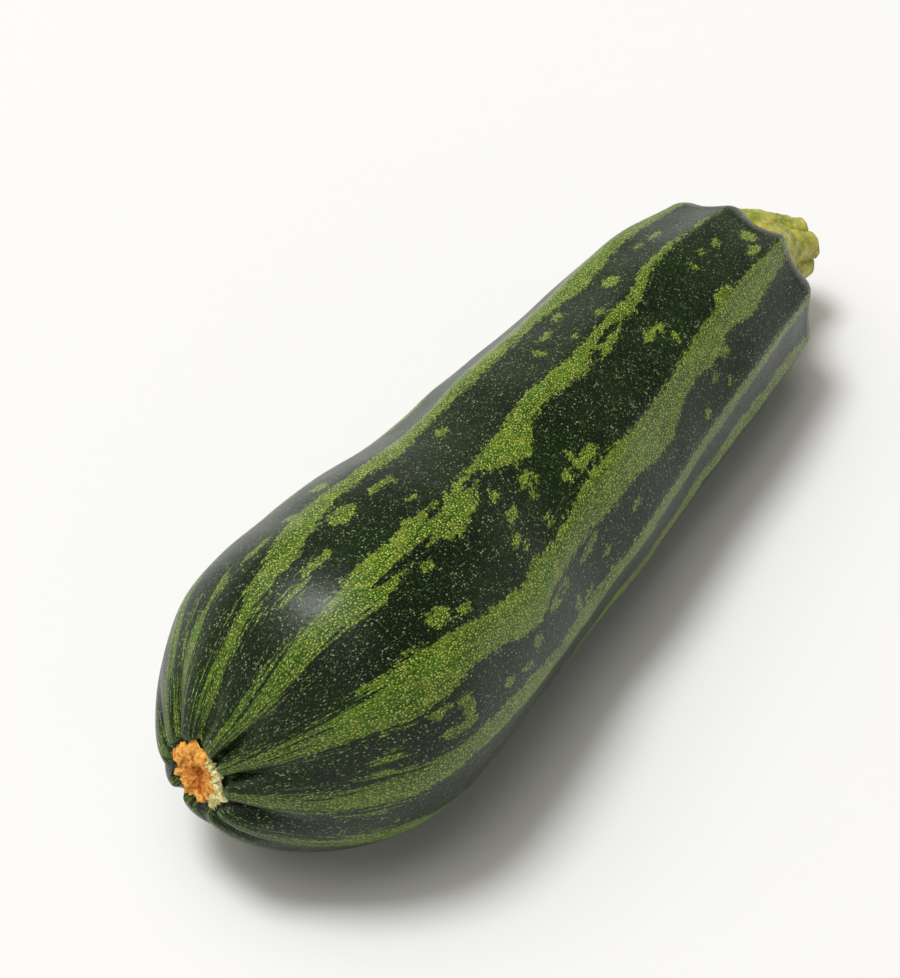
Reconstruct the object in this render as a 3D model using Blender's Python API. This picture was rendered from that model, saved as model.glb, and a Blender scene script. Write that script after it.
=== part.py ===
"""A ridged zucchini lying on its side, at its real size in metres, with +Z up.

The fruit runs along X, from the blossom scar at -X to the cut stem at +X. Its skin is one profile
curve swept round a gently swaying centre line. Ten ribs are raised from that skin by a formula, and
at the blossom end ten furrows are pinched in between them. The stub of the stem and the corky scar
that the blossom left are pieces of their own, which stand a hair's breadth off the fruit.
"""
import math

import bpy
import numpy as np

MM = 0.001

# The fruit, in millimetres from its blossom tip
FRUIT_LENGTH = 201.0
SPINE = (
    # along, radius to the facets, sway to +Y, height of the centre
    (0.0, 31.6, 6.0, 32.5),
    (18.0, 34.4, 0.0, 34.6),
    (38.0, 34.1, -2.9, 34.4),
    (62.0, 32.7, -2.7, 33.0),
    (85.0, 29.9, -2.3, 30.2),
    (110.0, 28.9, -1.7, 29.2),
    (140.0, 26.8, -0.1, 27.1),
    (170.0, 25.4, 1.2, 25.8),
    (201.0, 20.9, 1.2, 22.0),
)
BLOSSOM_CAP_LENGTH = 41.0
BLOSSOM_CAP_POWER = 2.02
BLOSSOM_LEAN_UP = 0.21
BLOSSOM_LEAN_SIDE = 0.16
BLOSSOM_LEAN_REACH = 60.0
SHOULDER_LENGTH = 7.8
SHOULDER_DEPTH = 7.2
SHOULDER_POWER = 1.7
FLAT_DEPTH = 1.3

# Ribs and furrows, with angles in degrees from the top towards -Y
RIB_COUNT = 10
RIB_PITCH = 360.0 / RIB_COUNT
FIRST_RIB_ANGLE = -37.0
RIB_TWIST = ((0.0, 12.0), (15.0, 12.0), (38.0, 15.0), (80.0, 14.0), (105.0, 9.0), (160.0, 1.0), (201.0, -3.0))
RIB_WANDER = (
    # how many degrees a rib swerves, where along the fruit, over what length, and at the scar
    (-5.0, 90.0, 45.0, -2.0),
    (-4.0, 100.0, 40.0, 10.0),
    (9.0, 68.0, 18.0, 0.0),
    (6.0, 80.0, 30.0, -3.0),
    (-5.0, 60.0, 25.0, 4.0),
    (4.0, 110.0, 30.0, -5.0),
    (6.0, 70.0, 25.0, 3.0),
    (-5.0, 120.0, 35.0, 0.0),
    (4.0, 65.0, 30.0, -4.0),
    (5.0, 95.0, 30.0, 2.0),
)
SCAR_SWERVE_REACH = 14.0
RIB_HEIGHTS = ((0.0, 0.5), (40.0, 0.5), (80.0, 1.0), (120.0, 1.4), (165.0, 1.8), (201.0, 2.2))
RIB_STRENGTHS = (0.95, 0.9, 1.15, 0.75, 1.0, 0.7, 0.5, 0.75, 1.0, 0.7)
RIB_CREST_ROUND = 0.07
FURROW_DEPTHS = (1.6, 1.9, 2.1, 2.4, 1.9, 1.5, 1.8, 1.4, 1.7, 1.6)
FURROW_WIDTH = 0.17
FURROW_REACH = 11.0
LOBE_HEIGHT = 0.7

# The two ends of the fruit, where the scar and the stem are seated
SCAR_SEAT_RADIUS = 7.4
SCAR_SEAT_RECESS = 1.0
LOBE_START_RADIUS = 8.4
STEM_SEAT_RADIUS = 15.0
STEM_SEAT_RECESS = 0.8
SEAT_GAP = 0.3

# The stem, in millimetres from its root
STEM_RIBS = 5
STEM_PATH = (
    # along the fruit, sway to +Y, drop, radius, depth of the furrows
    (0.0, 0.0, 0.0, 14.0, 0.4),
    (2.0, 0.0, -0.3, 14.1, 0.8),
    (5.0, 0.0, -0.7, 13.5, 1.2),
    (9.0, -0.6, -0.2, 11.2, 1.7),
    (13.0, -1.7, 1.1, 9.2, 2.0),
    (17.0, -3.1, 2.5, 8.2, 2.1),
    (20.5, -4.3, 3.6, 7.4, 1.8),
)
STEM_TWIST = 20.0
STEM_RIB_SHARPNESS = 0.7
STEM_CUT_HOLLOW = 0.8

# The scar
SCAR_POINTS = 9
SCAR_POINT_LENGTH = 0.6
SCAR_PROFILE = (
    # off the seat, radius, share of the length of the star's points
    (0.0, 6.0, 0.0),
    (0.9, 6.4, 0.3),
    (1.4, 6.7, 1.0),
    (1.9, 5.7, 0.8),
    (1.6, 3.7, 0.4),
    (1.4, 0.0, 0.0),
)

# How finely the solids are cut
CAP_ROWS = 9
CAP_END_SHARE = 0.93
BODY_ROWS = 21
SHOULDER_ROWS = 6
COLUMNS_PER_RIB = 8
STEM_COLUMNS_PER_RIB = 8
SCAR_COLUMNS = 36


def smooth_curve(stations, column, at):
    """A smooth curve through one column of a table of stations, read at one place."""
    places = [row[0] for row in stations]
    values = [row[column] for row in stations]
    slopes = np.gradient(values, places)
    i = int(np.clip(np.searchsorted(places, at, side="right") - 1, 0, len(places) - 2))
    span = places[i + 1] - places[i]
    t = (at - places[i]) / span
    start = (1 + 2 * t) * (1 - t) ** 2 * values[i] + t * (1 - t) ** 2 * span * slopes[i]
    end = t ** 2 * (3 - 2 * t) * values[i + 1] + t ** 2 * (t - 1) * span * slopes[i + 1]
    return float(start + end)


def cap_share(along):
    """How wide the rounded blossom end is at a distance from its tip, as a share of the body."""
    short = max(0.0, 1 - along / BLOSSOM_CAP_LENGTH)
    return (1 - short ** BLOSSOM_CAP_POWER) ** (1 / BLOSSOM_CAP_POWER)


def cap_place(share):
    """The distance from the tip at which the blossom end has a given share of the body's width."""
    return BLOSSOM_CAP_LENGTH * (1 - (1 - share ** BLOSSOM_CAP_POWER) ** (1 / BLOSSOM_CAP_POWER))


def profile():
    """The fruit's profile from pole to pole: rows of distance along and distance from the centre."""
    first_share = LOBE_START_RADIUS / SPINE[0][1]
    scar_seat = cap_place(first_share) + SCAR_SEAT_RECESS
    rows = [(scar_seat, 0.0), (scar_seat, SCAR_SEAT_RADIUS)]
    for share in np.linspace(first_share, CAP_END_SHARE, CAP_ROWS):
        along = cap_place(share)
        rows.append((along, smooth_curve(SPINE, 1, along) * share))

    body_end = FRUIT_LENGTH - SHOULDER_LENGTH
    for along in np.linspace(rows[-1][0], body_end, BODY_ROWS + 1)[1:]:
        rows.append((along, smooth_curve(SPINE, 1, along) * cap_share(along)))

    width = rows[-1][1]
    for turn in np.linspace(0, math.pi / 2, SHOULDER_ROWS + 1)[1:]:
        ahead = SHOULDER_LENGTH * math.sin(turn) ** (2 / SHOULDER_POWER)
        inward = SHOULDER_DEPTH * (1 - max(0.0, math.cos(turn)) ** (2 / SHOULDER_POWER))
        rows.append((body_end + ahead, width - inward))
    stem_seat = FRUIT_LENGTH - STEM_SEAT_RECESS
    rows += [(stem_seat, STEM_SEAT_RADIUS), (stem_seat, 0.0)]
    return np.array(rows)


def crest_angle(rib, along):
    """Where the crest of one rib lies."""
    swerve, place, length, at_scar = RIB_WANDER[rib % RIB_COUNT]
    wander = swerve * math.exp(-((along - place) / length) ** 2)
    wander += at_scar * math.exp(-(along / SCAR_SWERVE_REACH) ** 2)
    return FIRST_RIB_ANGLE + RIB_PITCH * rib + smooth_curve(RIB_TWIST, 1, along) + wander


def rib_angle(rib, along):
    """The angle of a place counted in ribs, which may lie between two crests."""
    before = math.floor(rib)
    share = rib - before
    return crest_angle(before, along) * (1 - share) + crest_angle(before + 1, along) * share


def relief(rib, along, from_scar):
    """How far the skin stands over its facets: ribs, and the lobes and furrows round the scar."""
    off_crest = abs(rib - round(rib))
    rounding = RIB_CREST_ROUND * (1 - 2 * off_crest)
    crest = (1 - 2 * math.hypot(off_crest, rounding)) ** 2
    height = smooth_curve(RIB_HEIGHTS, 1, along) * RIB_STRENGTHS[round(rib) % RIB_COUNT] * crest
    pinch = math.exp(-((0.5 - off_crest) / FURROW_WIDTH) ** 2)
    furrow = FURROW_DEPTHS[math.floor(rib) % RIB_COUNT] * pinch
    lobe = LOBE_HEIGHT * (1 - pinch)
    return height + (lobe - furrow) * math.exp(-(from_scar / FURROW_REACH) ** 2)


def lean(along, side, up):
    """How far the blossom end is pushed along the fruit, because its face looks up and sideways."""
    share = max(0.0, 1 - along / BLOSSOM_LEAN_REACH) ** 2
    return (BLOSSOM_LEAN_UP * up + BLOSSOM_LEAN_SIDE * side) * share


def fruit_rings():
    """Rings of points on the skin, from the seat of the scar to the seat of the stem."""
    rows = profile()
    steps = np.hypot(*np.diff(rows, axis=0).T)
    from_scar = np.concatenate([[0], np.cumsum(steps)]) - SCAR_SEAT_RADIUS
    slopes = np.gradient(rows, axis=0)
    slopes /= np.linalg.norm(slopes, axis=1, keepdims=True)

    rings = []
    for row, (along, radius) in enumerate(rows):
        sway = smooth_curve(SPINE, 2, along)
        height = smooth_curve(SPINE, 3, along)
        if radius == 0:
            rings.append([(along, sway, height)])
            continue
        seated = row == 1 or row == len(rows) - 2
        ring = []
        for step in range(RIB_COUNT * COLUMNS_PER_RIB):
            rib = step / COLUMNS_PER_RIB
            rise = 0 if seated else relief(rib, along, from_scar[row])
            turn = math.radians(rib_angle(rib, along))
            out = radius + slopes[row][0] * rise
            side, up = -out * math.sin(turn), out * math.cos(turn)
            x = along - slopes[row][1] * rise + lean(along, side, up)
            ring.append((x, sway + side, height + up))
        rings.append(ring)
    return rings


def rest_flat(rings):
    """Flattens the underside where the fruit lies on the ground."""
    lowest = min(point[2] for ring in rings for point in ring)
    ground = lowest + FLAT_DEPTH
    return [[(x, y, max(z, ground)) for x, y, z in ring] for ring in rings]


def stem_rings(root):
    """Rings of points on the stub of the stem, whose ribs run on from every second rib of the fruit."""
    path = np.array([(along, sway, -drop) for along, sway, drop, _, _ in STEM_PATH])
    headings = np.gradient(path, axis=0)
    headings[0] = (1, 0, 0)
    rings = [[root]]
    for place, heading, (along, _, _, radius, furrow) in zip(path, headings, STEM_PATH):
        heading = heading / np.linalg.norm(heading)
        left = np.cross((0, 0, 1), heading)
        left /= np.linalg.norm(left)
        upward = np.cross(heading, left)
        ring = []
        for step in range(STEM_RIBS * STEM_COLUMNS_PER_RIB):
            rib = step / STEM_COLUMNS_PER_RIB
            twist = STEM_TWIST * along / STEM_PATH[-1][0]
            turn = math.radians(rib_angle(RIB_COUNT / STEM_RIBS * rib, FRUIT_LENGTH) + twist)
            out = radius - furrow * (1 - abs(math.cos(math.pi * rib)) ** STEM_RIB_SHARPNESS)
            aside = upward * out * math.cos(turn) - left * out * math.sin(turn)
            ring.append(tuple(root + place + aside))
        rings.append(ring)
    rings.append([tuple(root + place - heading * STEM_CUT_HOLLOW)])
    return rings


def scar_rings(seat):
    """Rings of points on the corky disc, star-shaped at its rim and slightly hollow."""
    x, y, z = seat
    rings = [[(x, y, z)]]
    for off, radius, star in SCAR_PROFILE:
        if radius == 0:
            rings.append([(x - off, y, z)])
            continue
        ring = []
        for step in range(SCAR_COLUMNS):
            turn = 2 * math.pi * step / SCAR_COLUMNS
            out = radius + star * SCAR_POINT_LENGTH * math.cos(SCAR_POINTS * turn)
            side, up = out * math.sin(turn), out * math.cos(turn)
            ring.append((x - off + lean(0, side, up), y + side, z + up))
        rings.append(ring)
    return rings


def plain_material(name, colour, roughness):
    """A material with one colour and one roughness."""
    material = bpy.data.materials.new(name)
    material.use_nodes = True
    shader = material.node_tree.nodes["Principled BSDF"]
    shader.inputs["Base Color"].default_value = (*colour, 1)
    shader.inputs["Roughness"].default_value = roughness
    shader.inputs["Metallic"].default_value = 0
    return material


def make_solid(name, rings, material):
    """Skins rings of points, closed at each end by a single point, into one solid object."""
    points = []
    starts = []
    for ring in rings:
        starts.append(len(points))
        points.extend(tuple(value * MM for value in point) for point in ring)
    faces = []
    for row in range(len(rings) - 1):
        here, there = starts[row], starts[row + 1]
        count = max(len(rings[row]), len(rings[row + 1]))
        for step in range(count):
            after = (step + 1) % count
            if len(rings[row]) == 1:
                faces.append((here, there + after, there + step))
            elif len(rings[row + 1]) == 1:
                faces.append((here + step, here + after, there))
            else:
                faces.append((here + step, here + after, there + after, there + step))
    mesh = bpy.data.meshes.new(name)
    mesh.from_pydata(points, [], faces)
    mesh.shade_smooth()
    mesh.materials.append(material)
    solid = bpy.data.objects.new(name, mesh)
    bpy.context.scene.collection.objects.link(solid)
    return solid


def stand_at_origin(solids):
    """Moves the whole part so that the middle of its footprint is the origin, on the ground."""
    corners = np.array([vertex.co for solid in solids for vertex in solid.data.vertices])
    low, high = corners.min(axis=0), corners.max(axis=0)
    shift = ((low[0] + high[0]) / 2, (low[1] + high[1]) / 2, low[2])
    for solid in solids:
        for vertex in solid.data.vertices:
            vertex.co = [value - move for value, move in zip(vertex.co, shift)]


def main():
    for thing in list(bpy.data.objects):
        bpy.data.objects.remove(thing)

    skin = fruit_rings()
    scar_seat = np.array(skin[0][0]) - (SEAT_GAP, 0, 0)
    stem_root = np.array(skin[-1][0]) + (SEAT_GAP, 0, 0)
    fruit = make_solid("fruit", rest_flat(skin), plain_material("fruit_skin", (0.02, 0.06, 0.015), 0.32))
    stem = make_solid("stem", stem_rings(stem_root), plain_material("stem_skin", (0.42, 0.4, 0.12), 0.6))
    scar = make_solid("blossom_scar", scar_rings(scar_seat), plain_material("cork", (0.45, 0.2, 0.07), 0.8))
    stand_at_origin([fruit, stem, scar])


main()
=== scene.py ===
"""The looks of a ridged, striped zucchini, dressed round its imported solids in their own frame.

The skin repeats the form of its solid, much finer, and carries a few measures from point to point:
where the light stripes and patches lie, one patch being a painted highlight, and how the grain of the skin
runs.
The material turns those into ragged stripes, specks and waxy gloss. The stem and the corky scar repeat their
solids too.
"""
import math
import random

import bpy
import numpy as np
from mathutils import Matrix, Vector, noise


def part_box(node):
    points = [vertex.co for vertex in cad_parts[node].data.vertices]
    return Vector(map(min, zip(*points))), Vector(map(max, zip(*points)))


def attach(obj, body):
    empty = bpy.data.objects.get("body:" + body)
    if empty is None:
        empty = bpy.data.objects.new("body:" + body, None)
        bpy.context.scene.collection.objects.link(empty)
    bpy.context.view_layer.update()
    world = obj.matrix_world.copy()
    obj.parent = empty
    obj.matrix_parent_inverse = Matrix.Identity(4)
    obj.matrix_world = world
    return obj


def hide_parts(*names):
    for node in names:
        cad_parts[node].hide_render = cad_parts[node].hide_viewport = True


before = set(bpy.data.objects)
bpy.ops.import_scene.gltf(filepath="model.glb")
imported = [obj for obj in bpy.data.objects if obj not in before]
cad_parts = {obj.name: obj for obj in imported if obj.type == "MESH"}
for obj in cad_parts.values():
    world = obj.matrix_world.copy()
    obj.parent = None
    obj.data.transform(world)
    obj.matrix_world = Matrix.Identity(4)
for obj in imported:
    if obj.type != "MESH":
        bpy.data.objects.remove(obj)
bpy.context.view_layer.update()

MM = 0.001

# The fruit, in millimetres from its blossom tip
FRUIT_LENGTH = 201.0
SPINE = (
    # along, radius to the facets, sway to +Y, height of the centre
    (0.0, 31.6, 6.0, 32.5),
    (18.0, 34.4, 0.0, 34.6),
    (38.0, 34.1, -2.9, 34.4),
    (62.0, 32.7, -2.7, 33.0),
    (85.0, 29.9, -2.3, 30.2),
    (110.0, 28.9, -1.7, 29.2),
    (140.0, 26.8, -0.1, 27.1),
    (170.0, 25.4, 1.2, 25.8),
    (201.0, 20.9, 1.2, 22.0),
)
BLOSSOM_CAP_LENGTH = 41.0
BLOSSOM_CAP_POWER = 2.02
BLOSSOM_LEAN_UP = 0.21
BLOSSOM_LEAN_SIDE = 0.16
BLOSSOM_LEAN_REACH = 60.0
SHOULDER_LENGTH = 7.8
SHOULDER_DEPTH = 7.2
SHOULDER_POWER = 1.7
FLAT_DEPTH = 1.3

# Ribs and furrows, with angles in degrees from the top towards -Y
RIB_COUNT = 10
RIB_PITCH = 360.0 / RIB_COUNT
FIRST_RIB_ANGLE = -37.0
RIB_TWIST = ((0.0, 12.0), (15.0, 12.0), (38.0, 15.0), (80.0, 14.0), (105.0, 9.0), (160.0, 1.0), (201.0, -3.0))
RIB_WANDER = (
    # how many degrees a rib swerves, where along the fruit, over what length, and at the scar
    (-5.0, 90.0, 45.0, -2.0),
    (-4.0, 100.0, 40.0, 10.0),
    (9.0, 68.0, 18.0, 0.0),
    (6.0, 80.0, 30.0, -3.0),
    (-5.0, 60.0, 25.0, 4.0),
    (4.0, 110.0, 30.0, -5.0),
    (6.0, 70.0, 25.0, 3.0),
    (-5.0, 120.0, 35.0, 0.0),
    (4.0, 65.0, 30.0, -4.0),
    (5.0, 95.0, 30.0, 2.0),
)
SCAR_SWERVE_REACH = 14.0
RIB_HEIGHTS = ((0.0, 0.5), (40.0, 0.5), (80.0, 1.0), (120.0, 1.4), (165.0, 1.8), (201.0, 2.2))
RIB_STRENGTHS = (0.95, 0.9, 1.15, 0.75, 1.0, 0.7, 0.5, 0.75, 1.0, 0.7)
RIB_CREST_ROUND = 0.07
FURROW_DEPTHS = (1.6, 1.9, 2.1, 2.4, 1.9, 1.5, 1.8, 1.4, 1.7, 1.6)
FURROW_WIDTH = 0.17
FURROW_REACH = 11.0
LOBE_HEIGHT = 0.7
CREASE_DEPTH = 0.5
CREASE_WIDTH = 0.05
CREASE_REACH = 9.0
SWELL_HEIGHT = 0.35
SWELL_SIZE = 13.0

# The two ends of the fruit, where the scar and the stem are seated
SCAR_SEAT_RADIUS = 7.4
SCAR_SEAT_RECESS = 1.0
LOBE_START_RADIUS = 8.4
STEM_SEAT_RADIUS = 15.0
STEM_SEAT_RECESS = 0.8
SEAT_GAP = 0.3

# The stem, in millimetres from its root
STEM_RIBS = 5
STEM_PATH = (
    # along the fruit, sway to +Y, drop, radius, depth of the furrows
    (0.0, 0.0, 0.0, 14.0, 0.4),
    (2.0, 0.0, -0.3, 14.1, 0.8),
    (5.0, 0.0, -0.7, 13.5, 1.2),
    (9.0, -0.6, -0.2, 11.2, 1.7),
    (13.0, -1.7, 1.1, 9.2, 2.0),
    (17.0, -3.1, 2.5, 8.2, 2.1),
    (20.5, -4.3, 3.6, 7.4, 1.8),
)
STEM_TWIST = 20.0
STEM_RIB_SHARPNESS = 0.7
STEM_CUT_HOLLOW = 0.8
STEM_LUMPS = (
    # size and height
    (3.0, 0.45),
    (1.2, 0.15),
)

# How finely the pieces are cut
COLUMNS_PER_RIB = 32
CAP_ROWS = 62
CAP_END_SHARE = 0.93
BODY_ROWS = 206
SHOULDER_ROWS = 24
STEM_COLUMNS_PER_RIB = 32
STEM_ROWS = 90
SCAR_COLUMNS = 288
SCAR_ROWS = 72
SCAR_ROWS_UNDER = 24
SCAR_CENTRE_TOP = 0.02
SCAR_CENTRE_UNDER = 0.05

# The scar, in millimetres and radians from the top towards +Y
SCAR_RIM = 6.4
SCAR_RAGGED = 2.2
SCAR_DOME = 1.6
SCAR_HOLLOW = 0.6
SCAR_HOLLOW_RADIUS = 3.5
SCAR_UNDERSIDE = 0.35
SCAR_UNDERSIDE_POWER = 4
SCAR_EDGE_SHARE = 0.12
SCAR_EDGE_POWER = 0.6
SCAR_LUMPS = (
    # size and height
    (2.4, 0.6),
    (1.0, 0.4),
    (0.45, 0.25),
)
SCAR_TEETH = (
    # size as a share of the rim, and strength
    (0.36, 1.0),
    (0.13, 0.8),
)
FRINGE_FIBRES = 150
FRINGE_MIDDLE = -1.35
FRINGE_SPREAD = 1.15
FRINGE_FADE = 0.3
FRINGE_INNER_SHARE = 0.60
FRINGE_OUTER_SHARE = 0.80
FIBRE_LENGTHS = (0.6, 1.7)
FIBRE_RADII = (0.12, 0.26)
FIBRE_REACH = 0.5
FIBRE_LIFTS = (0.1, 0.8)
FIBRE_STRAY = 0.25
FIBRE_ROOT_SHARE = 0.75
FIBRE_SIDES = 6

# Light stripes: distance along the fruit, then their two edges, counted in ribs
STRIPES = (
    (
        (0.0, 0.18, 0.50), (10.0, 0.22, 0.48), (20.0, 0.15, 0.45), (30.0, 0.05, 0.38), (40.0, -0.12, 0.24),
        (50.0, -0.15, 0.13), (60.0, -0.05, 0.15), (70.0, -0.03, 0.20), (80.0, -0.10, 0.17),
        (90.0, -0.12, 0.13), (100.0, -0.15, 0.18), (120.0, -0.20, 0.22), (135.0, -0.20, 0.20),
        (148.0, -0.20, 0.33), (165.0, -0.20, 0.26), (185.0, -0.20, 0.20), (202.0, -0.20, 0.15),
    ),
    (
        (0.0, 0.85, 1.30), (10.0, 0.88, 1.36), (22.0, 0.93, 1.30), (30.0, 0.90, 1.30), (38.0, 0.82, 1.25),
        (46.0, 0.85, 1.15), (54.0, 0.83, 1.17), (60.0, 0.90, 1.25), (68.0, 0.92, 1.20), (75.0, 0.91, 1.10),
        (85.0, 0.89, 1.18), (93.0, 0.90, 1.30), (98.0, 0.90, 1.17), (107.0, 0.88, 1.14),
        (115.0, 0.93, 1.20), (122.0, 0.98, 1.25), (132.0, 0.98, 1.30), (140.0, 0.97, 1.20),
        (150.0, 0.97, 1.17), (156.0, 0.90, 1.07), (168.0, 0.88, 1.00), (180.0, 0.93, 1.00),
        (202.0, 0.95, 1.02),
    ),
    (
        (0.0, 2.00, 2.35), (8.0, 2.00, 2.38), (15.0, 1.90, 2.35), (25.0, 1.85, 2.40), (32.0, 1.76, 2.33),
        (38.0, 1.80, 2.27), (45.0, 1.85, 2.22), (52.0, 1.85, 2.25), (60.0, 1.85, 2.33), (66.0, 1.84, 2.30),
        (72.0, 1.79, 2.17), (80.0, 1.87, 2.20), (90.0, 1.90, 2.27), (100.0, 1.90, 2.38),
        (110.0, 1.95, 2.42), (122.0, 2.02, 2.58), (128.0, 2.02, 2.60), (135.0, 2.02, 2.45),
        (145.0, 2.00, 2.38), (153.0, 1.99, 2.45), (160.0, 1.97, 2.35), (172.0, 1.98, 2.48),
        (180.0, 1.98, 2.42), (190.0, 1.98, 2.33), (202.0, 2.00, 2.20),
    ),
    (
        (0.0, 2.95, 3.40), (10.0, 2.95, 3.42), (20.0, 2.90, 3.40), (30.0, 2.85, 3.20), (45.0, 2.82, 3.12),
        (60.0, 2.82, 3.15), (68.0, 2.85, 3.10), (80.0, 2.80, 3.15), (95.0, 2.88, 3.15),
        (110.0, 2.97, 3.25), (130.0, 3.02, 3.28), (150.0, 3.00, 3.25), (170.0, 3.00, 3.20),
        (202.0, 3.00, 3.15),
    ),
    (
        (0.0, 3.80, 4.25), (10.0, 3.85, 4.20), (20.0, 3.80, 4.15), (40.0, 3.90, 4.20), (70.0, 3.85, 4.15),
        (100.0, 3.70, 4.00), (130.0, 3.68, 3.95), (160.0, 3.65, 3.92), (180.0, 3.70, 3.95),
        (202.0, 3.80, 4.05),
    ),
    (
        (0.0, 4.85, 5.25), (40.0, 4.85, 5.20), (75.0, 4.90, 5.15), (120.0, 4.80, 5.15),
        (165.0, 4.85, 5.15), (202.0, 4.90, 5.10),
    ),
    (
        (0.0, 5.80, 6.15), (30.0, 5.85, 6.25), (70.0, 5.85, 6.10), (110.0, 5.90, 6.20),
        (160.0, 5.85, 6.10), (202.0, 5.90, 6.10),
    ),
    (
        (0.0, 6.85, 7.20), (35.0, 6.80, 7.15), (80.0, 6.90, 7.25), (125.0, 6.85, 7.15),
        (170.0, 6.90, 7.15), (202.0, 6.90, 7.10),
    ),
    (
        (0.0, 7.85, 8.30), (25.0, 7.85, 8.20), (60.0, 7.80, 8.10), (105.0, 7.90, 8.20),
        (150.0, 7.85, 8.15), (202.0, 7.90, 8.10),
    ),
    (
        (0.0, 8.80, 9.20), (30.0, 8.85, 9.15), (75.0, 8.80, 9.20), (115.0, 8.80, 9.15),
        (160.0, 8.85, 9.20), (202.0, 8.90, 9.10),
    ),
)

# Light patches (one of them a painted highlight) and dark slits: distance along, place counted in ribs,
# length, width
PATCHES_AND_PAINTED_HIGHLIGHT = (
    (41.5, 1.66, 7.0, 4.0), (48.0, 1.73, 4.5, 2.8), (48.5, 1.25, 3.5, 2.4), (71.0, 1.59, 5.0, 2.0),
    (72.5, 1.68, 2.0, 2.4), (76.0, 1.22, 4.5, 2.4), (75.5, 1.44, 5.5, 2.4), (85.5, 1.38, 5.5, 2.6),
    (84.5, 1.51, 3.4, 1.9), (88.0, 1.47, 2.4, 1.6), (82.5, 1.77, 3.4, 2.0), (95.0, 1.73, 3.4, 2.6),
    (99.0, 1.70, 2.4, 5.0), (103.0, 1.78, 6.0, 2.6), (143.0, 1.53, 6.5, 2.4), (146.5, 1.57, 3.0, 3.0),
    (190.0, 1.60, 4.5, 4.4), (186.0, 1.84, 5.5, 2.8), (166.0, 1.93, 7.5, 2.4), (174.0, 1.33, 2.4, 2.4),
    (168.0, 1.40, 2.4, 1.8), (180.0, 1.36, 3.4, 2.4), (147.0, 1.80, 2.8, 2.2),
    (48.5, 0.30, 9.0, 4.6), (60.5, 0.36, 8.0, 2.4), (64.0, 0.39, 2.4, 3.2), (61.5, 0.71, 4.4, 1.7),
    (86.0, 0.33, 4.4, 2.8), (135.0, 0.36, 4.4, 2.2), (127.0, 0.49, 5.4, 2.0), (152.0, 0.60, 5.4, 4.2),
    (140.0, 0.82, 3.0, 2.4), (129.0, 0.82, 2.4, 2.0), (120.0, 0.60, 2.2, 4.0), (33.0, 0.54, 10.0, 2.8),
    # (174.0, 0.55, 6.0, 2.4) is a painted highlight: an elongated highlight of the gloss near the far end,
    # laid in as a light patch
    (25.0, 0.62, 8.0, 1.6), (168.0, 0.50, 3.4, 2.0), (174.0, 0.55, 6.0, 2.4),
    (74.0, 2.30, 10.0, 3.4), (89.0, 2.37, 9.5, 2.4), (62.5, 2.50, 3.4, 3.4), (50.0, 2.65, 4.5, 2.4),
    (57.0, 2.67, 5.4, 1.6), (37.0, 2.52, 4.6, 6.0), (31.0, 2.44, 6.0, 2.6), (34.0, 2.70, 10.0, 3.0),
    (20.0, 2.69, 8.0, 1.5), (18.5, 2.87, 3.4, 2.4), (80.0, 2.70, 3.4, 4.2), (85.0, 2.76, 4.4, 1.9),
    (94.0, 2.65, 3.4, 2.0), (108.0, 2.65, 4.4, 1.6), (150.0, 2.60, 3.0, 2.0), (157.0, 2.48, 4.2, 2.4),
    (143.0, 2.83, 3.0, 2.4), (154.0, 2.82, 3.0, 1.8),
    (9.0, -0.33, 18.0, 5.0), (22.0, -0.28, 7.0, 2.6), (14.0, -0.55, 14.0, 1.6), (57.0, -0.30, 4.4, 5.0),
    (44.0, -0.20, 4.0, 3.0), (13.0, -0.85, 14.0, 3.0), (32.0, -0.15, 10.0, 2.2),
)
SLITS = (
    (45.0, 1.10, 22.0, 1.3), (61.0, 0.98, 8.0, 1.0), (75.0, 1.02, 10.0, 1.0), (78.0, 1.12, 9.0, 1.6),
    (135.0, 1.13, 10.0, 1.2), (127.0, 1.20, 4.0, 1.8), (17.0, 2.42, 6.5, 3.0), (33.0, 2.52, 4.6, 2.6),
    (20.0, -0.38, 8.0, 2.4), (22.0, -0.14, 10.0, 1.2), (75.0, 2.30, 5.0, 1.2),
)
PATCH_REACH = 8.0
SPOT_CENTRE = 1e-6
GRAIN_RADIUS = 30.0
GRAIN_TIGHTNESS = ((0.0, 0.75), (20.0, 0.80), (45.0, 0.88), (80.0, 0.92), (230.0, 0.92))

# The key light, in metres and watts, and the brightness of the room round it
KEY_TOWARDS = (-0.14, 0.27, 0.95)
KEY_DISTANCE = 5.0
KEY_SIZE = 1.7
KEY_POWER = 160.0
KEY_COLOUR = (0.965, 0.975, 1.0)
SKY_TOP = 0.08
SKY_LOW = 0.52
SKY_FRONT = 0.14
SKY_GLOW = 1.9
GLOW_RISE = (0.74, 0.97)
LOW_FADE = (0.05, 0.6)
ROOM_FRONT = (-0.82, -0.57)
FRONT_RISE = (0.1, 0.9)
SKY_COLOUR = (1.0, 0.97, 0.91)
FLOOR_SIZE = 8.0
FLOOR_SHADE = 0.80

# The view of the photograph
PHOTO_HEIGHT_PX = 978
FOCAL_PX = 3246.0
SENSOR_MM = 36.0
VIEW_AZIMUTH = -55.15
VIEW_ELEVATION = 45.0
VIEW_DISTANCE = 0.7
VIEW_TARGET = (-0.01398, 0.01458, 0.02902)


# Form

def smooth_curve(stations, column, at):
    """A smooth curve through one column of a table of stations, read at many places."""
    table = np.array(stations)
    places, values = table[:, 0], table[:, column]
    slopes = np.gradient(values, places)
    i = np.clip(np.searchsorted(places, at, side="right") - 1, 0, len(places) - 2)
    span = places[i + 1] - places[i]
    t = (at - places[i]) / span
    start = (1 + 2 * t) * (1 - t) ** 2 * values[i] + t * (1 - t) ** 2 * span * slopes[i]
    end = t ** 2 * (3 - 2 * t) * values[i + 1] + t ** 2 * (t - 1) * span * slopes[i + 1]
    return start + end


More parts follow.
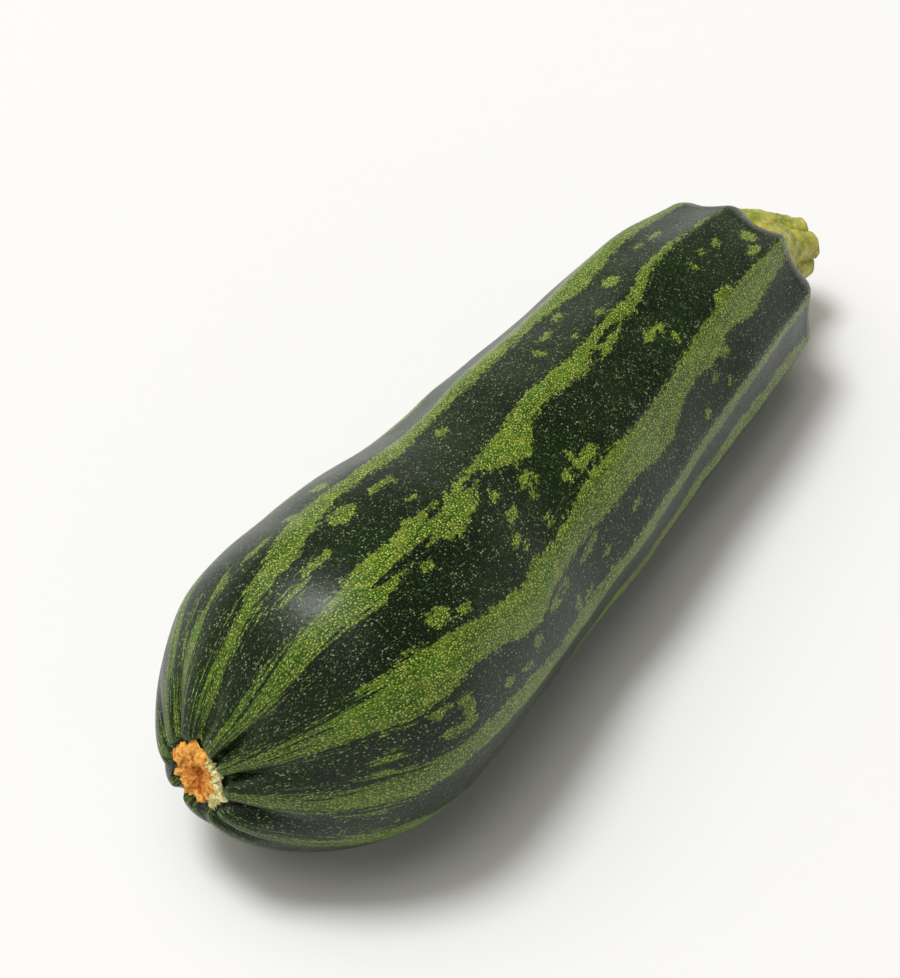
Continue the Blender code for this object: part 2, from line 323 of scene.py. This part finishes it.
def cap_share(along):
    """How wide the rounded blossom end is at a distance from its tip, as a share of the body."""
    short = np.maximum(0.0, 1 - along / BLOSSOM_CAP_LENGTH)
    return (1 - short ** BLOSSOM_CAP_POWER) ** (1 / BLOSSOM_CAP_POWER)


def cap_place(share):
    """The distance from the tip at which the blossom end has a given share of the body's width."""
    return BLOSSOM_CAP_LENGTH * (1 - (1 - share ** BLOSSOM_CAP_POWER) ** (1 / BLOSSOM_CAP_POWER))


def profile():
    """The fruit's profile from pole to pole: rows of distance along and distance from the centre."""
    first_share = LOBE_START_RADIUS / SPINE[0][1]
    scar_seat = cap_place(first_share) + SCAR_SEAT_RECESS
    shares = np.linspace(first_share, CAP_END_SHARE, CAP_ROWS)
    cap = cap_place(shares)
    cap_radii = smooth_curve(SPINE, 1, cap) * shares

    body_end = FRUIT_LENGTH - SHOULDER_LENGTH
    body = np.linspace(cap[-1], body_end, BODY_ROWS + 1)[1:]
    body_radii = smooth_curve(SPINE, 1, body) * cap_share(body)

    turns = np.linspace(0, math.pi / 2, SHOULDER_ROWS + 1)[1:]
    shoulder = body_end + SHOULDER_LENGTH * np.sin(turns) ** (2 / SHOULDER_POWER)
    drops = SHOULDER_DEPTH * (1 - np.maximum(0.0, np.cos(turns)) ** (2 / SHOULDER_POWER))

    stem_seat = FRUIT_LENGTH - STEM_SEAT_RECESS
    along = np.concatenate([[scar_seat, scar_seat], cap, body, shoulder, [stem_seat, stem_seat]])
    radius = np.concatenate([
        [0.0, SCAR_SEAT_RADIUS], cap_radii, body_radii, body_radii[-1] - drops, [STEM_SEAT_RADIUS, 0.0],
    ])
    return along, radius


def crest_angle(rib, along):
    """Where the crest of one rib lies at many places along the fruit."""
    swerve, place, length, at_scar = RIB_WANDER[rib % RIB_COUNT]
    wander = swerve * np.exp(-((along - place) / length) ** 2)
    wander += at_scar * np.exp(-(along / SCAR_SWERVE_REACH) ** 2)
    return FIRST_RIB_ANGLE + RIB_PITCH * rib + smooth_curve(RIB_TWIST, 1, along) + wander


def rib_angles(ribs, along):
    """The angle of every place counted in ribs, at every place along: a row for each place along."""
    crests = np.array([crest_angle(rib, along) for rib in range(RIB_COUNT + 1)])
    before = np.floor(ribs).astype(int)
    share = ribs - before
    return (crests[before] * (1 - share[:, None]) + crests[before + 1] * share[:, None]).T


def relief(ribs, along, from_scar):
    """How far the skin stands over its facets: ribs, and the lobes, furrows and creases round the scar."""
    nearest = np.round(ribs).astype(int) % RIB_COUNT
    off_crest = np.abs(ribs - np.round(ribs))
    rounding = RIB_CREST_ROUND * (1 - 2 * off_crest)
    crest = (1 - 2 * np.hypot(off_crest, rounding)) ** 2 * np.array(RIB_STRENGTHS)[nearest]
    pinch = np.exp(-((0.5 - off_crest) / FURROW_WIDTH) ** 2)
    crease = CREASE_DEPTH * np.exp(-((0.5 - off_crest) / CREASE_WIDTH) ** 2)
    furrow = np.array(FURROW_DEPTHS)[np.floor(ribs).astype(int) % RIB_COUNT] * pinch
    lobe = LOBE_HEIGHT * (1 - pinch)
    rise = smooth_curve(RIB_HEIGHTS, 1, along)[:, None] * crest
    rise += (lobe - furrow) * np.exp(-(from_scar / FURROW_REACH) ** 2)[:, None]
    rise -= crease * np.exp(-(from_scar / CREASE_REACH) ** 2)[:, None]
    return rise


def lean(along, side, up):
    """How far the blossom end is pushed along the fruit, because its face looks up and sideways."""
    share = np.maximum(0.0, 1 - along / BLOSSOM_LEAN_REACH) ** 2
    return (BLOSSOM_LEAN_UP * up + BLOSSOM_LEAN_SIDE * side) * share


def ring_columns(count):
    """How far round each column of points lies, in turns."""
    return np.arange(count) / count


def swelling(points, size):
    """Gentle unevenness of grown things, from -1 to 1, at every point of a grid."""
    flat = points.reshape(-1, 3) / size
    return np.array([noise.noise(Vector(point)) for point in flat]).reshape(points.shape[:-1])


def lumps(points, layers):
    """Unevenness of several sizes on top of each other, at every point of a grid."""
    return sum(swelling(points, size) * height for size, height in layers)


class Skin:
    """The fruit's skin as a grid of points, with the measures that its material reads."""

    def __init__(self):
        self.along, self.radius = profile()
        self.ribs = ring_columns(RIB_COUNT * COLUMNS_PER_RIB) * RIB_COUNT
        steps = np.hypot(np.diff(self.along), np.diff(self.radius))
        self.from_scar = np.concatenate([[0], np.cumsum(steps)]) - SCAR_SEAT_RADIUS
        plain = self.points(0)
        ground = plain[..., 2].min() + FLAT_DEPTH
        low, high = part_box("fruit")
        middle = (plain.min(axis=(0, 1)) + plain.max(axis=(0, 1))) / 2
        self.shift = np.array([
            middle[0] - (low.x + high.x) / 2 / MM,
            middle[1] - (low.y + high.y) / 2 / MM,
            ground,
        ])
        uneven = self.points(swelling(plain, SWELL_SIZE) * SWELL_HEIGHT)
        uneven[..., 2] = np.maximum(uneven[..., 2], ground)
        self.grid = (uneven - self.shift) * MM

    def points(self, extra):
        """Every point of the skin in millimetres from the blossom tip."""
        slopes = np.gradient(np.stack([self.along, self.radius], 1), axis=0)
        slopes /= np.linalg.norm(slopes, axis=1, keepdims=True)
        rise = relief(self.ribs, self.along, self.from_scar) + extra
        rise[[0, 1, -2, -1]] = 0
        turn = np.radians(rib_angles(self.ribs, self.along))
        out = self.radius[:, None] + slopes[:, :1] * rise
        side, up = -out * np.sin(turn), out * np.cos(turn)
        x = self.along[:, None] - slopes[:, 1:] * rise + lean(self.along[:, None], side, up)
        y = smooth_curve(SPINE, 2, self.along)[:, None] + side
        z = smooth_curve(SPINE, 3, self.along)[:, None] + up
        return np.stack([x, y, z], -1)

    def end(self, row, gap):
        """The middle of one end of the fruit, moved along it by a gap."""
        at = self.along[[row]]
        return np.array([at[0] + gap, smooth_curve(SPINE, 2, at)[0], smooth_curve(SPINE, 3, at)[0]])

    def off(self, rib):
        """How far every point lies from a place counted in ribs, in millimetres round the fruit."""
        half = RIB_COUNT / 2
        ribs_off = (self.ribs[None, :] - rib + half) % RIB_COUNT - half
        return ribs_off * (2 * math.pi * self.radius[:, None] / RIB_COUNT)

    def spot(self, place, rib, length, width):
        """How many millimetres inside an oval spot every point lies, less than zero outside it."""
        ahead = self.along[:, None] - place
        aside = self.off(rib)
        measure = np.hypot(ahead / (length / 2), aside / (width / 2)) + SPOT_CENTRE
        return (1 / measure - 1) * np.hypot(ahead, aside)

    def inside_stripe(self):
        """How many millimetres inside a light stripe or patch every point lies; one of the patches is a
        painted highlight.
        """
        inside = np.full((len(self.along), len(self.ribs)), -PATCH_REACH)
        for stripe in STRIPES:
            near = smooth_curve(stripe, 1, self.along)[:, None]
            far = smooth_curve(stripe, 2, self.along)[:, None]
            half = (far - near) / 2 * (2 * math.pi * self.radius[:, None] / RIB_COUNT)
            inside = np.maximum(inside, half - np.abs(self.off((near + far) / 2)))
        for patch in PATCHES_AND_PAINTED_HIGHLIGHT:
            inside = np.maximum(inside, self.spot(*patch))
        for slit in SLITS:
            inside = np.minimum(inside, -self.spot(*slit))
        return np.clip(inside, -PATCH_REACH, PATCH_REACH)

    def speck_map(self, row, column, corners, starts):
        """Where each face corner lies on the skin rolled out flat, in millimetres.

        The skin is slit along the underside, where a face would otherwise reach round the whole fruit.
        """
        length = self.grain()[:, 0, 0]
        count = len(self.ribs)
        turned = (column - count // 2)[corners] % count
        widest = np.maximum.reduceat(turned, starts)
        sizes = np.diff(np.append(starts, len(corners)))
        turned = np.where((np.repeat(widest, sizes) == count - 1) & (turned == 0), count, turned)
        around = turned / count * 2 * math.pi * GRAIN_RADIUS
        return np.stack([length[row[corners]], around], -1)

    def grain(self):
        """Places along and around the skin in millimetres, as its specks and streaks run."""
        steps = np.diff(self.from_scar, prepend=self.from_scar[0])
        along = np.cumsum(steps * smooth_curve(GRAIN_TIGHTNESS, 1, self.from_scar))
        turn = self.ribs / RIB_COUNT * 2 * math.pi
        shape = (len(self.along), len(self.ribs))
        return np.stack([
            np.broadcast_to(along[:, None], shape),
            np.broadcast_to(GRAIN_RADIUS * np.cos(turn), shape),
            np.broadcast_to(GRAIN_RADIUS * np.sin(turn), shape),
        ], -1)


def start_piece(add, name, **settings):
    """Adds a primitive with nothing else selected, and names it."""
    bpy.ops.object.select_all(action="DESELECT")
    add(**settings)
    piece = bpy.context.object
    piece.name = piece.data.name = name
    return piece


def shape_ball(name, grid):
    """A ball from pole to pole whose rings are moved to the rows of a grid of points."""
    rows, columns = grid.shape[:2]
    ball = start_piece(
        bpy.ops.mesh.primitive_uv_sphere_add, name, segments=columns, ring_count=rows - 1, radius=1.0,
        location=(0, 0, 0),
    )
    co = np.zeros(len(ball.data.vertices) * 3, np.float32)
    ball.data.vertices.foreach_get("co", co)
    co = co.reshape(-1, 3)
    row = np.round(np.arccos(np.clip(-co[:, 2], -1, 1)) / math.pi * (rows - 1)).astype(int)
    column = np.round(np.arctan2(co[:, 1], co[:, 0]) / (2 * math.pi) * columns).astype(int) % columns
    ball.data.vertices.foreach_set("co", grid[row, column].astype(np.float32).ravel())
    bpy.ops.object.mode_set(mode="EDIT")
    bpy.ops.mesh.select_all(action="SELECT")
    bpy.ops.mesh.normals_make_consistent(inside=False)
    bpy.ops.object.mode_set(mode="OBJECT")
    bpy.ops.object.shade_smooth()
    return ball, row, column


def note(piece, name, values):
    """Stores one measure for each point of a piece, for its material to read."""
    kind = "FLOAT_VECTOR" if values.ndim == 2 else "FLOAT"
    field = "vector" if values.ndim == 2 else "value"
    layer = piece.data.attributes.new(name, kind, "POINT")
    layer.data.foreach_set(field, values.astype(np.float32).ravel())


def make_fruit(skin):
    """The ribbed body."""
    fruit, row, column = shape_ball("fruit_skin", skin.grid)
    note(fruit, "grain", skin.grain()[row, column])
    note(fruit, "inside", skin.inside_stripe()[row, column])
    note(fruit, "from_scar", skin.from_scar[row])

    corners = np.zeros(len(fruit.data.loops), np.int32)
    starts = np.zeros(len(fruit.data.polygons), np.int32)
    fruit.data.loops.foreach_get("vertex_index", corners)
    fruit.data.polygons.foreach_get("loop_start", starts)
    flat = skin.speck_map(row, column, corners, starts)
    fruit.data.uv_layers[0].data.foreach_set("uv", flat.astype(np.float32).ravel())
    fruit.data.materials.append(striped_skin())
    return fruit


def stem_line(path, places):
    """The middle line of the stem at places from its root, with its heading, left and upward directions."""
    line = np.stack([places, smooth_curve(path, 1, places), -smooth_curve(path, 2, places)], 1)
    heading = np.gradient(line[1:-1], axis=0)
    heading = np.concatenate([heading[:1], heading, heading[-1:]])
    heading /= np.linalg.norm(heading, axis=1, keepdims=True)
    left = np.cross((0, 0, 1), heading)
    left /= np.linalg.norm(left, axis=1, keepdims=True)
    return line, heading, left, np.cross(heading, left)


def make_stem(skin):
    """The cut stub of the stem, furrowed between ribs that run on from those of the fruit."""
    path = np.array(STEM_PATH)
    length = path[-1, 0]
    places = np.concatenate([[0.0], np.linspace(0, length, STEM_ROWS), [length]])
    line, heading, left, upward = stem_line(path, places)

    ribs = ring_columns(STEM_RIBS * STEM_COLUMNS_PER_RIB) * STEM_RIBS
    turn = rib_angles(ribs * RIB_COUNT / STEM_RIBS, np.array([FRUIT_LENGTH]))
    turn = np.radians(turn + STEM_TWIST * places[:, None] / length)
    aside = upward[:, None, :] * np.cos(turn)[..., None] - left[:, None, :] * np.sin(turn)[..., None]
    dip = 1 - np.abs(np.cos(math.pi * ribs)) ** STEM_RIB_SHARPNESS
    out = smooth_curve(path, 3, places)[:, None] - smooth_curve(path, 4, places)[:, None] * dip
    out[[0, -1]] = 0

    grid = skin.end(-1, SEAT_GAP) + line[:, None, :] + aside * out[..., None]
    rough = lumps(grid, STEM_LUMPS)
    rough[[0, 1, -1]] = 0
    grid = grid + aside * rough[..., None]
    grid[-1] -= heading[-1] * STEM_CUT_HOLLOW
    stem, _, _ = shape_ball("stem_stub", (grid - skin.shift) * MM)
    stem.data.materials.append(stem_flesh())
    return stem


def scar_disc(share, turn):
    """The cork as points round its seat: nearly flat underneath, lumpy and hollowed on top."""
    circle = np.stack([np.cos(turn), np.sin(turn), np.zeros_like(turn)], 1)
    rim = SCAR_RIM + SCAR_RAGGED * lumps(circle, SCAR_TEETH)
    out = share[:, None] * rim[None, :]
    side, up = out * np.sin(turn), out * np.cos(turn)
    dome = SCAR_DOME - SCAR_HOLLOW * np.exp(-(out / SCAR_HOLLOW_RADIUS) ** 2)
    dome += lumps(np.stack([side, up, np.zeros_like(side)], -1), SCAR_LUMPS)
    edge = np.clip((1 - share) / SCAR_EDGE_SHARE, 0, 1)[:, None] ** SCAR_EDGE_POWER
    crown = SCAR_UNDERSIDE + (dome - SCAR_UNDERSIDE) * edge
    underneath = SCAR_UNDERSIDE * share[:, None] ** SCAR_UNDERSIDE_POWER
    on_top = np.arange(len(share)) > SCAR_ROWS_UNDER
    off = np.where(on_top[:, None], crown, underneath)
    return np.stack([lean(0, side, up) - off, side, up], -1)


def make_scar(skin):
    """The corky scar: a torn disc with a ragged rim, and a pale fringe of fibres on its -Y side."""
    seat = skin.end(0, -SEAT_GAP)
    turn = ring_columns(SCAR_COLUMNS) * 2 * math.pi
    share = np.concatenate([
        [0.0],
        np.linspace(SCAR_CENTRE_UNDER, 1.0, SCAR_ROWS_UNDER),
        np.linspace(1.0, SCAR_CENTRE_TOP, SCAR_ROWS),
        [0.0],
    ])
    scar, row, column = shape_ball("scar_cork", (seat + scar_disc(share, turn) - skin.shift) * MM)

    from_fringe = np.abs((turn - FRINGE_MIDDLE + math.pi) % (2 * math.pi) - math.pi)
    beside = np.clip((FRINGE_SPREAD - from_fringe) / FRINGE_FADE, 0, 1)
    outer = np.clip((share - FRINGE_INNER_SHARE) / (FRINGE_OUTER_SHARE - FRINGE_INNER_SHARE), 0, 1)
    pale = beside[None, :] * outer[:, None]
    note(scar, "pale", pale[row, column])
    note(scar, "share", share[row])

    fibres = [fringe_fibre(skin, seat, number) for number in range(FRINGE_FIBRES)]
    bpy.ops.object.select_all(action="DESELECT")
    for fibre in fibres:
        fibre.select_set(True)
    scar.select_set(True)
    bpy.context.view_layer.objects.active = scar
    bpy.ops.object.join()
    scar.data.materials.append(cork())
    return scar


def fringe_fibre(skin, seat, number):
    """One pale fibre of torn skin that stands out from the scar's rim."""
    chance = random.Random(number)
    turn = FRINGE_MIDDLE + chance.uniform(-FRINGE_SPREAD, FRINGE_SPREAD)
    length = chance.uniform(*FIBRE_LENGTHS)
    reach = SCAR_RIM + chance.uniform(-FIBRE_REACH, FIBRE_REACH)
    outward = np.array([-chance.uniform(*FIBRE_LIFTS), math.sin(turn), math.cos(turn)])
    outward += [chance.uniform(-FIBRE_STRAY, FIBRE_STRAY) for _ in range(3)]
    radius = chance.uniform(*FIBRE_RADII)
    side, up = reach * math.sin(turn), reach * math.cos(turn)
    root = seat + (lean(0, side, up) - SCAR_DOME * FIBRE_ROOT_SHARE, side, up)
    facing = Vector(outward).to_track_quat("Z", "Y").to_euler()
    fibre = start_piece(
        bpy.ops.mesh.primitive_cone_add, "fibre",
        vertices=FIBRE_SIDES, radius1=radius * MM, radius2=0.0, depth=length * MM,
        location=Vector((root - skin.shift) * MM), rotation=facing,
    )
    bpy.ops.object.shade_smooth()
    for name in ("pale", "share"):
        note(fibre, name, np.ones(len(fibre.data.vertices)))
    return fibre


# Materials

class Wire:
    """A number or colour on its way through a node tree, to be worked with like a number."""

    def __init__(self, wiring, socket):
        self.wiring = wiring
        self.socket = socket

    def math(self, operation, *values):
        return self.wiring.node("ShaderNodeMath", {"operation": operation}, dict(enumerate(values)))

    def __add__(self, other):
        return self.math("ADD", self, other)

    def __radd__(self, other):
        return self.math("ADD", other, self)

    def __sub__(self, other):
        return self.math("SUBTRACT", self, other)

    def __rsub__(self, other):
        return self.math("SUBTRACT", other, self)

    def __mul__(self, other):
        return self.math("MULTIPLY", self, other)

    def __rmul__(self, other):
        return self.math("MULTIPLY", other, self)

    def at_least(self, other):
        return self.math("MAXIMUM", self, other)

    def ramp(self, low, high):
        """0 below low, 1 above high and smooth between."""
        sockets = {"Value": self, "From Min": low, "From Max": high}
        return self.wiring.node("ShaderNodeMapRange", {"interpolation_type": "SMOOTHSTEP"}, sockets)


class Wiring:
    """A node tree that is built from expressions."""

    def __init__(self, tree):
        self.tree = tree

    def node(self, kind, settings=(), sockets=(), results=(0,)):
        """Adds a node, its settings first and then the values or links of its sockets."""
        made = self.tree.nodes.new(kind)
        for name, value in dict(settings).items():
            setattr(made, name, value)
        for name, value in dict(sockets).items():
            self.feed(made.inputs[name], value)
        wires = [Wire(self, made.outputs[name]) for name in results]
        return wires[0] if len(wires) == 1 else wires

    def feed(self, socket, value):
        if isinstance(value, Wire):
            self.tree.links.new(value.socket, socket)
        else:
            socket.default_value = value


class Finish(Wiring):
    """One material."""

    def __init__(self, name, constants):
        self.material = bpy.data.materials.new(name)
        self.material.use_nodes = True
        super().__init__(self.material.node_tree)
        self.shader = self.tree.nodes["Principled BSDF"]
        for socket, value in constants.items():
            self.shader.inputs[socket].default_value = value

    def look(self, **wires):
        """Feeds sockets of the shader."""
        for words, wire in wires.items():
            self.feed(self.shader.inputs[words.replace("_", " ").title()], wire)

    def measure(self, name, result="Fac"):
        return self.node("ShaderNodeAttribute", {"attribute_name": name}, results=(result,))

    def rolled_out(self):
        """The piece's own flat map."""
        return self.node("ShaderNodeUVMap", results=("UV",))

    def millimetres(self):
        """The piece's own coordinates in millimetres."""
        place = self.node("ShaderNodeTexCoord", results=("Object",))
        return self.stretch(place, (1 / MM, 1 / MM, 1 / MM))

    def stretch(self, vector, factors):
        return self.node("ShaderNodeVectorMath", {"operation": "MULTIPLY"}, {0: vector, 1: factors})

    def clouds(self, vector, size, detail=2.0, roughness=0.5):
        """Soft noise, mostly from -0.3 to 0.3, with lumps of a given size in the vector's own unit."""
        sockets = {"Vector": vector, "Scale": 1 / size, "Detail": detail, "Roughness": roughness}
        return self.node("ShaderNodeTexNoise", {}, sockets) - 0.5

    def specks(self, vector, size, smallest, largest, jitter=1.0, dimensions="2D"):
        """Round specks, one to a cell of a given size, and a chance from 0 to 1 for each cell."""
        sockets = {"Vector": vector, "Scale": 1 / size, "Randomness": jitter}
        settings = {"voronoi_dimensions": dimensions}
        distance, tint = self.node("ShaderNodeTexVoronoi", settings, sockets, ("Distance", "Color"))
        own, chance = self.node("ShaderNodeSeparateColor", {}, {"Color": tint}, ("Red", "Green"))
        radius = own * ((largest - smallest) / size) + smallest / size
        return (radius - distance).ramp(-0.05, 0.12), chance

    def mix(self, share, first, second):
        sockets = {0: share, 6: first, 7: second}
        return self.node("ShaderNodeMix", {"data_type": "RGBA"}, sockets, (2,))

    def bump(self, height, depth):
        sockets = {"Height": height, "Strength": 1.0, "Distance": depth}
        return self.node("ShaderNodeBump", {}, sockets, ("Normal",))


def rgb(red, green, blue):
    return (red, green, blue, 1.0)


def striped_skin():
    """Waxy dark green skin with ragged light stripes, patches, streaks and specks."""
    skin = Finish("striped_waxy_skin", {"Specular IOR Level": 0.27})
    grain = skin.measure("grain", "Vector")
    near_scar = 1 - skin.measure("from_scar").ramp(8.0, 60.0)

    # The stripes in millimetres from their edges, ragged, frayed, and drawn out near the scar
    ragged = skin.clouds(skin.stretch(grain, (0.5, 1, 1)), 2.4, detail=6.0, roughness=0.80) * 3.6
    frayed = skin.clouds(skin.stretch(grain, (0.5, 1, 1)), 0.6, detail=3.0, roughness=0.6) * 4.0
    streaks = skin.clouds(skin.stretch(grain, (0.05, 1, 1)), 1.0, detail=3.0, roughness=0.7) * 19.0
    # The "inside" measure also holds one painted highlight, a light patch near the far end, coloured like the
    # stripes
    depth = skin.measure("inside") + ragged + frayed + streaks * near_scar - 0.2 - near_scar * 0.6
    light = depth.ramp(-0.1, 0.3)

    # The plain greens, with lengthwise threads, paler blotches and pale edges to the stripes
    cloudy = skin.clouds(grain, 14.0, detail=3.0).ramp(-0.2, 0.2)
    threads = skin.clouds(skin.stretch(grain, (0.06, 1, 1)), 0.6, detail=3.0).ramp(-0.14, 0.14)
    dark = skin.mix(cloudy, rgb(0.0024, 0.0075, 0.0018), rgb(0.0050, 0.0150, 0.0026))
    grown = (cloudy * 0.4 + threads * 0.6) * (1 - near_scar * 0.4)
    green = skin.mix(grown, rgb(0.012, 0.048, 0.0012), rgb(0.075, 0.170, 0.0040))
    blotches = skin.clouds(skin.stretch(grain, (0.7, 1, 1)), 2.4, detail=3.0).ramp(0.05, 0.17)
    pale = blotches.at_least(1 - depth.ramp(0.2, 1.1)) * (0.55 - near_scar * 0.4)
    base = skin.mix(light, dark, skin.mix(pale, green, rgb(0.18, 0.23, 0.022)))

    # Faint fine specks all over, and brighter ones that crowd the stripes
    flat = skin.rolled_out()
    fine, fine_chance = skin.specks(skin.stretch(flat, (0.8, 1, 1)), 0.40, 0.06, 0.15)
    dots, dot_chance = skin.specks(skin.stretch(flat, (0.72, 1, 1)), 0.42, 0.08, 0.17, jitter=0.9)
    crowd = skin.clouds(grain, 3.0, detail=4.0).ramp(-0.14, 0.16)
    faint = fine * fine_chance.ramp(0.0, 1.0) * (0.30 + crowd * 0.40)
    in_light = light * (0.2 + dot_chance * 0.8) * (1 - near_scar * 0.35)
    bright = dots * in_light.at_least(dot_chance.ramp(0.72, 0.96) * (0.35 + crowd * 0.5))
    colour = skin.mix(faint, base, rgb(0.11, 0.19, 0.055))
    cream = skin.mix(light, rgb(0.34, 0.46, 0.20), rgb(0.56, 0.59, 0.13))
    colour = skin.mix(bright, colour, cream)

    height = bright * 0.4 + skin.clouds(grain, 0.9, detail=3.0)
    skin.look(
        base_color=colour,
        roughness=0.36 + skin.clouds(grain, 6.0) * 0.15,
        normal=skin.bump(height, 0.00009),
    )
    return skin.material


def stem_flesh():
    """Dull yellow-green stem with green and orange mottling and pale specks."""
    stem = Finish("stem_flesh", {"Specular IOR Level": 0.3})
    place = stem.millimetres()
    mottle = stem.clouds(stem.stretch(place, (0.5, 1, 1)), 3.0, detail=4.0, roughness=0.6)
    green = stem.mix(mottle.ramp(-0.15, 0.12), rgb(0.50, 0.46, 0.07), rgb(0.22, 0.27, 0.010))
    rusty = stem.clouds(place, 4.0, detail=3.0).ramp(0.08, 0.18)
    colour = stem.mix(rusty * 0.6, green, rgb(0.58, 0.27, 0.06))
    specks, chance = stem.specks(place, 1.1, 0.2, 0.6, dimensions="3D")
    colour = stem.mix(specks * chance * 0.7, colour, rgb(0.64, 0.60, 0.26))
    stem.look(base_color=colour, roughness=0.5 + mottle * 0.3, normal=stem.bump(mottle, 0.0004))
    return stem.material


def cork():
    """Orange-brown torn cork, darker in the middle, with a cream edge where its fringe stands."""
    scar = Finish("torn_cork", {"Specular IOR Level": 0.15})
    place = scar.millimetres()
    patchy = scar.clouds(place, 1.3, detail=5.0, roughness=0.7)
    outer = scar.measure("share").ramp(0.2, 0.95)
    shade = (patchy * 1.3 + outer * 0.22).ramp(-0.16, 0.36)
    colour = scar.mix(shade, rgb(0.36, 0.065, 0.004), rgb(0.98, 0.50, 0.10))
    threads = scar.clouds(place, 0.5, detail=3.0)
    cream = scar.mix(threads.ramp(-0.1, 0.15), rgb(0.92, 0.84, 0.46), rgb(0.56, 0.53, 0.13))
    colour = scar.mix((scar.measure("pale") + patchy * 0.8).ramp(0.35, 0.6), colour, cream)
    scar.look(
        base_color=colour,
        roughness=0.75 + patchy * 0.3,
        normal=scar.bump(patchy + threads * 0.5, 0.0006),
    )
    return scar.material


# Studio

def make_floor():
    """A wide pale floor."""
    floor = start_piece(bpy.ops.mesh.primitive_plane_add, "floor", size=FLOOR_SIZE, location=(0, 0, 0))
    constants = {"Base Color": rgb(*[FLOOR_SHADE] * 3), "Roughness": 0.9, "Specular IOR Level": 0.2}
    paper = Finish("pale_floor", constants)
    floor.data.materials.append(paper.material)


def make_lights():
    """A wide soft key light high on the +Y side, in a room that is bright round it, low down and in front."""
    towards = Vector(KEY_TOWARDS).normalized()
    key = bpy.data.objects.new("key", bpy.data.lights.new("key", "AREA"))
    key.data.shape = "DISK"
    key.data.size = KEY_SIZE
    key.data.energy = KEY_POWER
    key.data.color = KEY_COLOUR
    key.location = Vector(VIEW_TARGET) + towards * KEY_DISTANCE
    key.rotation_euler = towards.to_track_quat("Z", "Y").to_euler()
    bpy.context.scene.collection.objects.link(key)

    world = bpy.data.worlds.new("room")
    world.use_nodes = True
    room = Wiring(world.node_tree)
    towards_sky = room.node("ShaderNodeTexCoord", results=("Generated",))
    x, y, z = room.node("ShaderNodeSeparateXYZ", {}, {"Vector": towards_sky}, ("X", "Y", "Z"))
    low = 1 - z.ramp(*LOW_FADE)
    front = (x * ROOM_FRONT[0] + y * ROOM_FRONT[1]).ramp(*FRONT_RISE)
    glow = (x * towards.x + y * towards.y + z * towards.z).ramp(*GLOW_RISE)
    background = world.node_tree.nodes["Background"]
    strength = SKY_TOP + low * SKY_LOW + front * SKY_FRONT + glow * SKY_GLOW
    room.feed(background.inputs["Strength"], strength)
    room.feed(background.inputs["Color"], rgb(*SKY_COLOUR))
    bpy.context.scene.world = world


def make_camera():
    """The photograph's view."""
    camera = bpy.data.objects.new("camera", bpy.data.cameras.new("camera"))
    azimuth, elevation = math.radians(VIEW_AZIMUTH), math.radians(VIEW_ELEVATION)
    back = Vector((
        math.sin(azimuth) * math.cos(elevation),
        -math.cos(azimuth) * math.cos(elevation),
        math.sin(elevation),
    ))
    camera.location = Vector(VIEW_TARGET) + back * VIEW_DISTANCE
    camera.rotation_euler = back.to_track_quat("Z", "Y").to_euler()
    camera.data.sensor_width = SENSOR_MM
    camera.data.lens = FOCAL_PX * SENSOR_MM / PHOTO_HEIGHT_PX
    camera.data.clip_start = 0.01
    camera.data.clip_end = 50.0
    bpy.context.scene.collection.objects.link(camera)
    bpy.context.scene.camera = camera


def main():
    scene = bpy.context.scene
    scene.view_settings.view_transform = "Standard"
    make_camera()
    make_lights()
    make_floor()

    skin = Skin()
    pieces = (
        (make_fruit(skin), "fruit", "fruit_skin"),
        (make_stem(skin), "stem", "stem_skin"),
        (make_scar(skin), "blossom_scar", "cork"),
    )
    for piece, node, slot in pieces:
        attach(piece, "root")
        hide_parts(node)


main()
